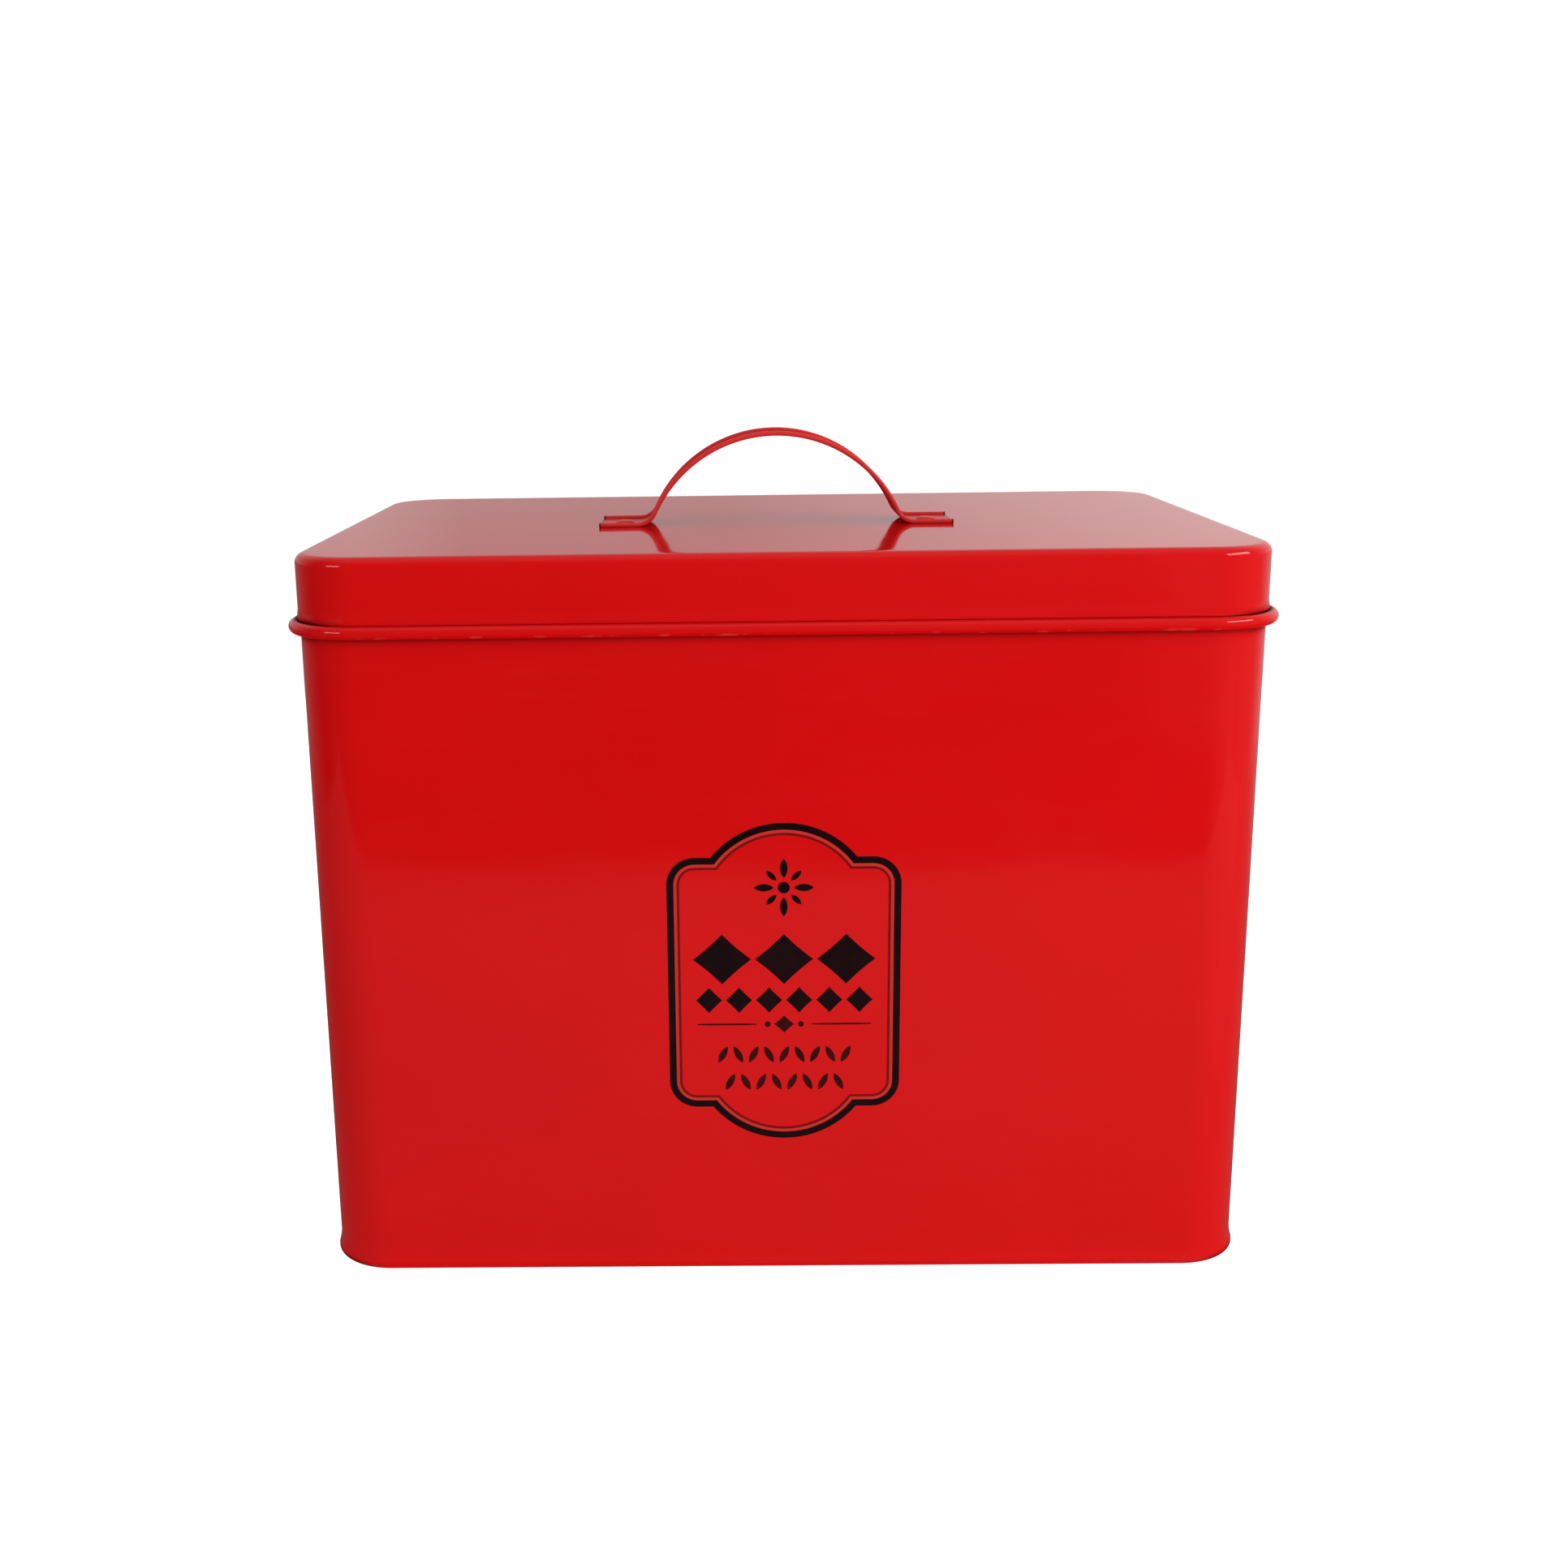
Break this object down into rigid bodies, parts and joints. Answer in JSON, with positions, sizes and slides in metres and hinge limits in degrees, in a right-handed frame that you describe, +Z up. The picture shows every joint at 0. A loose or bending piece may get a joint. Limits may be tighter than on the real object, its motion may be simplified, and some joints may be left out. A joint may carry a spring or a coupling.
{
  "type": "lidded storage tin",
  "caption": "Rectangular painted-metal storage tin with rounded corners, a rolled rim and a lift-off lid with an arched strip handle.",
  "frame": {"origin": "on the ground, under the middle of the rim's outline seen from above", "axes": "+X along the tin's width towards its right as seen from the front, +Y from the front to the back, +Z up; the printed front faces -Y"},
  "size_m": [0.245, 0.165, 0.2122],
  "materials": {
    "tin_enamel": "high-gloss red enamel on tinplate",
    "lid_enamel": "high-gloss red enamel on tinplate",
    "handle_enamel": "gloss red enamel on steel strip",
    "badge_ink": "semi-gloss black screen-printed ink"
  },
  "bodies": {
    "tin": {"body_shell": "tin_enamel", "base_panel": "tin_enamel", "neck_ring": "tin_enamel"},
    "lid": {"lid_shell": "lid_enamel", "handle": "handle_enamel", "handle_rivet_left": "handle_enamel", "handle_rivet_right": "handle_enamel"}
  },
  "joints": [
    {"name": "lid_lift", "type": "slide", "parent": "tin", "child": "lid", "axis": [0, 0, 1], "range_m": [0, 0.06]}
  ]
}
